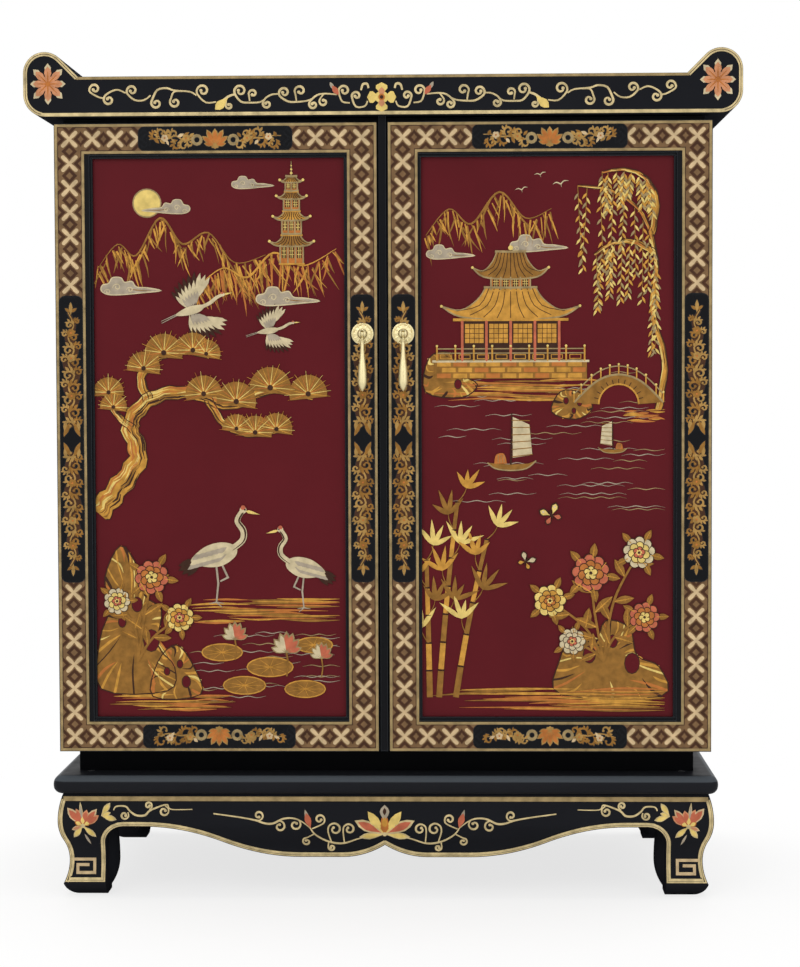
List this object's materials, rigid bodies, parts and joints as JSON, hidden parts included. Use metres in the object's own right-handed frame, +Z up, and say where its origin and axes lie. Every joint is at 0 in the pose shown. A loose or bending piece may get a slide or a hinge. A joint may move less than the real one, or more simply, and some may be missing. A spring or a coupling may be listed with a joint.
{
  "type": "cabinet on stand",
  "caption": "Lacquered cupboard with hinged doors and drop pulls, scrolled ends on its top, shelves inside, on a low stand with shaped aprons and short curved legs.",
  "frame": {"origin": "on the floor, under the middle of the cabinet's bounding box", "axes": "+X to the viewer's right across the doors, +Y from the doors to the back, +Z up"},
  "size_m": [0.768, 0.393, 0.914],
  "materials": {
    "black_lacquer": "polished black lacquer over wood",
    "red_lacquer": "polished wine-red lacquer over wood",
    "inside_wood": "satin stained wood",
    "bare_wood": "bare wood",
    "brass": "polished brass",
    "steel": "plated steel",
    "catch_plastic": "moulded plastic"
  },
  "bodies": {
    "cabinet": {"back_apron": "black_lacquer", "back_left_leg": "black_lacquer", "back_panel": "black_lacquer", "back_right_leg": "black_lacquer", "bottom_board": "black_lacquer", "case_hinge_leaves": "brass", "centre_post": "black_lacquer", "dowels": "bare_wood", "front_apron": "black_lacquer", "front_left_leg": "black_lacquer", "front_right_leg": "black_lacquer", "hinge_pins": "brass", "inner_top": "black_lacquer", "left_apron": "black_lacquer", "left_scroll_end": "black_lacquer", "left_side": "black_lacquer", "lower_shelf": "inside_wood", "magnetic_catches": "catch_plastic", "right_apron": "black_lacquer", "right_scroll_end": "black_lacquer", "right_side": "black_lacquer", "screws": "steel", "shelf_pins": "brass", "stand_board": "black_lacquer", "top_back_band": "black_lacquer", "top_board": "black_lacquer", "top_front_band": "black_lacquer", "upper_shelf": "inside_wood", "waist_back_rail": "black_lacquer", "waist_front_rail": "black_lacquer", "waist_left_rail": "black_lacquer", "waist_right_rail": "black_lacquer"},
    "left_door": {"left_door_outer_stile": "black_lacquer", "left_door_inner_stile": "black_lacquer", "left_door_top_rail": "black_lacquer", "left_door_bottom_rail": "black_lacquer", "left_door_panel": "red_lacquer", "left_door_bead": "black_lacquer", "left_door_hinge_leaves": "brass", "left_door_hinge_screws": "steel", "left_pull_rosette": "brass", "left_pull_boss": "brass", "left_pull_pin": "brass", "left_pull_nut": "brass", "left_strike_plate": "steel"},
    "right_door": {"right_door_outer_stile": "black_lacquer", "right_door_inner_stile": "black_lacquer", "right_door_top_rail": "black_lacquer", "right_door_bottom_rail": "black_lacquer", "right_door_panel": "red_lacquer", "right_door_bead": "black_lacquer", "right_door_hinge_leaves": "brass", "right_door_hinge_screws": "steel", "right_pull_rosette": "brass", "right_pull_boss": "brass", "right_pull_pin": "brass", "right_pull_nut": "brass", "right_strike_plate": "steel"},
    "left_drop": {"left_pull_drop": "brass"},
    "right_drop": {"right_pull_drop": "brass"}
  },
  "joints": [
    {"name": "left_door_hinge", "type": "hinge", "parent": "cabinet", "child": "left_door", "pos_m": [-0.35, -0.163, 0.5], "axis": [0, 0, -1], "range_deg": [0, 160]},
    {"name": "right_door_hinge", "type": "hinge", "parent": "cabinet", "child": "right_door", "pos_m": [0.35, -0.163, 0.5], "axis": [0, 0, 1], "range_deg": [0, 160]},
    {"name": "left_drop_swing", "type": "hinge", "parent": "left_door", "child": "left_drop", "pos_m": [-0.0219, -0.1915, 0.612], "axis": [-1, 0, 0], "range_deg": [0, 90]},
    {"name": "right_drop_swing", "type": "hinge", "parent": "right_door", "child": "right_drop", "pos_m": [0.0219, -0.1915, 0.612], "axis": [-1, 0, 0], "range_deg": [0, 90]}
  ]
}
